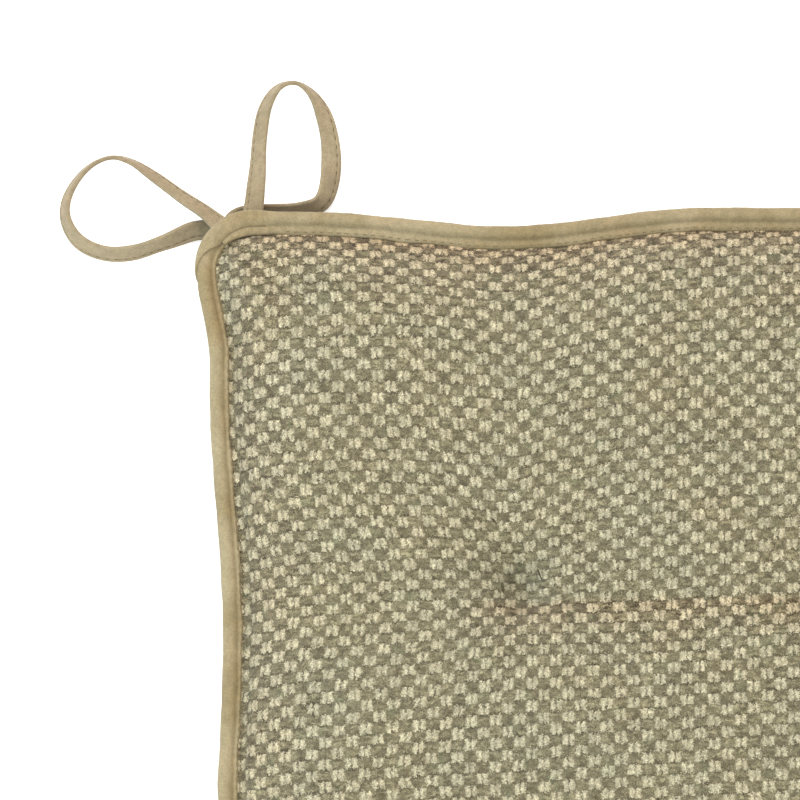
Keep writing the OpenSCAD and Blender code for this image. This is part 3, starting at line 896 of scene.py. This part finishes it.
def make_binding():
    s = np.arange(int(ROUND / 1.3)) * (ROUND / int(ROUND / 1.3))
    ring = strip_points(s, STRIP)
    faces = grid_faces(*ring.shape[:2], wrap_rows=True, wrap_columns=True)
    obj = new_object("corded_binding", ring.reshape(-1, 3), faces[:, ::-1], [BINDING])
    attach(obj, "root")
    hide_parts("edge_binding")


def rear_left_start():
    """Arc length where the rear left corner's arc begins, on its rear end, and on its side end."""
    quarter = GONE[np.argmax(OUTLINE[:, 1] * (np.abs(OUTLINE[:, 0]) < 1e-6))]
    arc_c = LINE_HALF - LINE_R
    behind = (OUTLINE[:, 0] < -arc_c + 1e-6) & (OUTLINE[:, 1] > arc_c - CORNER_SHORT)
    found = GONE[:-1][behind[:-1] & (GONE[:-1] > quarter)]
    return found[0], found[-1]


LAP_FROM = 12.0  # how far before the corner the folded end starts to lie on top
LAP_STOP, LAP_SLANT = 16.4, 1.6  # where its slanting line ends, and how steep that line is
LAP_SQUARE = 3.1  # the stretch across the flange in which the line doesn't slant


def make_lap():
    """The strip's folded end, which laps over its start along a slanting line at the corner."""
    rear_end, side_end = rear_left_start()
    section = np.vstack([UPPER[1:], (UPPER * [1, -1])[-2:-9:-1]])
    run = np.concatenate([[0], np.cumsum(np.linalg.norm(np.diff(section, axis=0), axis=1))])
    stop = side_end - LAP_STOP + LAP_SLANT * np.maximum(run, LAP_SQUARE)
    start = rear_end - LAP_FROM
    even = np.linspace(0, 1, 40)
    tau = np.concatenate([even, [1.012, 1.018, 1.02, 1.018]])
    lift = np.concatenate([0.04 + 0.8 * ramp(even * 1.8), [0.78, 0.55, 0.25, -0.1]])
    rows = []
    for t, up in zip(tau, lift):
        s = start + (stop - start) * t
        one_by_one = (slice(k, k + 1) for k in range(len(s)))
        rows.append([strip_points(s[k], section[k], up)[0, 0] for k in one_by_one])
    ring = np.array(rows)
    faces = grid_faces(*ring.shape[:2])[:, ::-1]
    obj = new_object("binding_folded_end", ring.reshape(-1, 3), faces, [BINDING])
    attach(obj, "root")
    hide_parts("binding_lap")


def make_binding_stitches():
    s = (np.arange(STITCHES) + 0.5) * ROUND / STITCHES
    _, n = outline_at(s)
    along = np.stack([n[:, 1], -n[:, 0], np.zeros(len(s))], 1)
    parts = []
    for face in (1, -1):
        c = strip_points(s, np.array([[STITCH_IN, face * 1.33]]))[:, 0]
        parts.append(capsules(c, along, 2.1, 0.24))
    v = np.vstack([parts[0][0], parts[1][0]])
    f = np.vstack([parts[0][1], parts[1][1] + len(parts[0][0])])
    obj = new_object("binding_stitches", v, f, [STITCH])
    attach(obj, "root")
    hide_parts("binding_stitching")


def make_filler_cord():
    s = np.arange(360) * ROUND / 360
    p, n = outline_at(s)
    a = np.radians(np.arange(0, 360, 45))
    ring = np.concatenate(
        [
            p[:, None] + n[:, None] * (1.8 * np.cos(a))[None, :, None],
            np.broadcast_to((SEAM_Z + 1.8 * np.sin(a))[None, :, None], (len(s), len(a), 1)),
        ],
        2,
    )
    faces = grid_faces(len(s), len(a), wrap_rows=True, wrap_columns=True)
    obj = new_object("filler_cord", ring.reshape(-1, 3), faces[:, ::-1], [CORD])
    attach(obj, "root")
    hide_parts("piping_cord")


make_binding()
make_lap()
make_binding_stitches()
make_filler_cord()


# ---------------------------------------------------------------- tufts and tacks
def make_tuft(name, sx, sy):
    centre = np.array([sx * TUFT_X, sy * TUFT_Y])
    turn = np.array([math.cos(TUFT_TURN), math.sin(TUFT_TURN)])
    parts = []
    for e in (-1, 1):
        hole = centre + e * TUFT_GAP / 2 * turn
        top = float(top_height(hole[:1], hole[1:])[0])
        lean = 0.38 if e > 0 else 0.06
        parts.append(capsules(np.array([[*hole, top + 0.55]]), [[lean, -0.95, -0.12]], 4.2, 0.4))
        leg = np.array([[*hole, (top + TUFT_RECESS) / 2 - 0.1]])
        height = top - TUFT_RECESS + 0.6
        parts.append(capsules(leg, [[0, 0, 1.0]], height, 0.3, np.array([[1.0, 0, 0]])))
    low = TUFT_RECESS - 0.9
    parts.append(capsules(np.array([[*centre, low]]), [[*turn, 0]], TUFT_GAP + 1, 0.42))
    parts.append(capsules(np.array([[*centre, low - 0.2]]), [[-turn[1], turn[0], 0]], 3.4, 1.1))
    verts, faces, count = [], [], 0
    for v, f in parts:
        verts.append(v)
        faces.append(f + count)
        count += len(v)
    obj = new_object(name + "_stitches", np.vstack(verts), np.vstack(faces), [TUFT])
    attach(obj, "root")
    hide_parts(name)


for row, sy in (("rear", 1), ("front", -1)):
    for side, sx in (("left", -1), ("right", 1)):
        make_tuft(f"tuft_thread_{row}_{side}", sx, sy)

def make_tack(side, sign):
    k = np.arange(-2, 3)[:, None]
    middle = np.array([[189.8 * sign, 190.2, SEAM_Z - 3.4]])
    centres = middle + k * np.array([[0.92 * -sign, 0.92, 0]])
    lean = np.tile([0.3 * sign, 0.3, 1.0], (5, 1))
    v, f = capsules(centres, lean, 3.3, 0.3, np.tile([1.0, 0, 0], (5, 1)))
    tack = new_object(side + "_bar_tack", v, f, [STITCH])
    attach(tack, "root")
    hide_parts(side + "_tie_tack")


make_tack("left", -1)
make_tack("right", 1)


# ---------------------------------------------------------------- filling, hidden by the covers
AROUND = 240  # points round one layer


def make_filling(name, node, material, upper_of, lower_of, reach):
    """A layer between two heights, out to a share of the pad's outline."""
    p, _ = outline_at(np.arange(AROUND) * ROUND / AROUND)
    shares = np.linspace(0, reach, 36)[1:]
    rings = p[None] * shares[:, None, None]
    x, y = rings[..., 0], rings[..., 1]
    high, low = upper_of(x, y), lower_of(x, y)
    middle = (high[-1] + low[-1]) / 2
    high[-1], low[-1] = middle + 0.2, middle - 0.2
    top = np.stack([x, y, high], 2)
    under = np.stack([x, y, low], 2)[::-1]
    ring = np.concatenate([top, under])
    faces = grid_faces(*ring.shape[:2], wrap_columns=True)
    first = np.arange(AROUND)
    last = first + (len(ring) - 1) * AROUND
    centre_top = len(ring) * AROUND
    centre_low = centre_top + 1
    at = np.zeros(1)
    centres = [[0, 0, float(height_of(at, at)[0])] for height_of in (upper_of, lower_of)]
    verts = np.vstack([ring.reshape(-1, 3), centres])
    next_first, next_last = np.roll(first, -2), np.roll(last, -2)
    tops, lows = np.full(AROUND // 2, centre_top), np.full(AROUND // 2, centre_low)
    fan_top = np.stack([tops, first[::2], first[1::2], next_first[::2]], 1)
    fan_low = np.stack([lows, next_last[::2], last[1::2], last[::2]], 1)
    obj = new_object(name, verts, np.vstack([faces[:, ::-1], fan_top, fan_low]), [material])
    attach(obj, "root")
    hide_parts(node)


def wadding_top(x, y):
    return np.maximum(top_height(x, y) - 3.2, SEAM_Z + 0.3)


def foam_top(x, y):
    return SEAM_Z + 0.55 * (wadding_top(x, y) - SEAM_Z)


def wadding_under(x, y):
    return np.minimum(under_height(x, y) + 2.2, SEAM_Z - 0.3)


def foam_under(x, y):
    return SEAM_Z - 0.55 * (SEAM_Z - wadding_under(x, y))


make_filling("wadding_upper", "top_wadding", WADDING, wadding_top, foam_top, 0.93)
make_filling("foam_slab", "foam_core", FOAM, foam_top, foam_under, 0.88)
make_filling("wadding_lower", "bottom_wadding", WADDING, foam_under, wadding_under, 0.93)


# ---------------------------------------------------------------- floor and light
def make_floor():
    size = 6000
    verts = [(-size, -size, 0), (size, -size, 0), (size, size, 0), (-size, size, 0)]
    m = Shader("pale_floor", roughness=0.9)
    m.bsdf.inputs["Emission Color"].default_value = (1, 1, 1, 1)
    m.bsdf.inputs["Emission Strength"].default_value = 0.45  # a lit table, which leaves no shadow
    white = m.finish(srgb(250, 250, 250))
    floor = new_object("floor", verts, [[0, 1, 2, 3]], [white], smooth=False)
    floor.location.z = -0.0004


def area_light(name, place, target, size, power, colour):
    data = bpy.data.lights.new(name, "AREA")
    data.size = size
    data.energy = power
    data.color = colour
    light = bpy.data.objects.new(name, data)
    light.location = place
    light.rotation_mode = "QUATERNION"
    light.rotation_quaternion = (Vector(target) - Vector(place)).to_track_quat("-Z", "Y")
    bpy.context.scene.collection.objects.link(light)


make_floor()
area_light("warm_rear", (-0.15, 1.25, 1.0), (-0.1, 0.1, 0), 0.9, 16, (1.0, 0.87, 0.77))
area_light("cool_left", (-1.25, 0.1, 1.0), (-0.1, 0.1, 0), 0.9, 16, (0.68, 0.88, 1.0))
area_light("fill_front", (0.3, -1.2, 1.1), (-0.1, 0.1, 0), 1.4, 18, (0.97, 1.0, 0.92))
world = bpy.data.worlds.new("studio")
world.use_nodes = True
world.node_tree.nodes["Background"].inputs["Color"].default_value = (1, 1, 1, 1)
world.node_tree.nodes["Background"].inputs["Strength"].default_value = 0.85
bpy.context.scene.world = world
bpy.context.scene.view_settings.view_transform = "Standard"
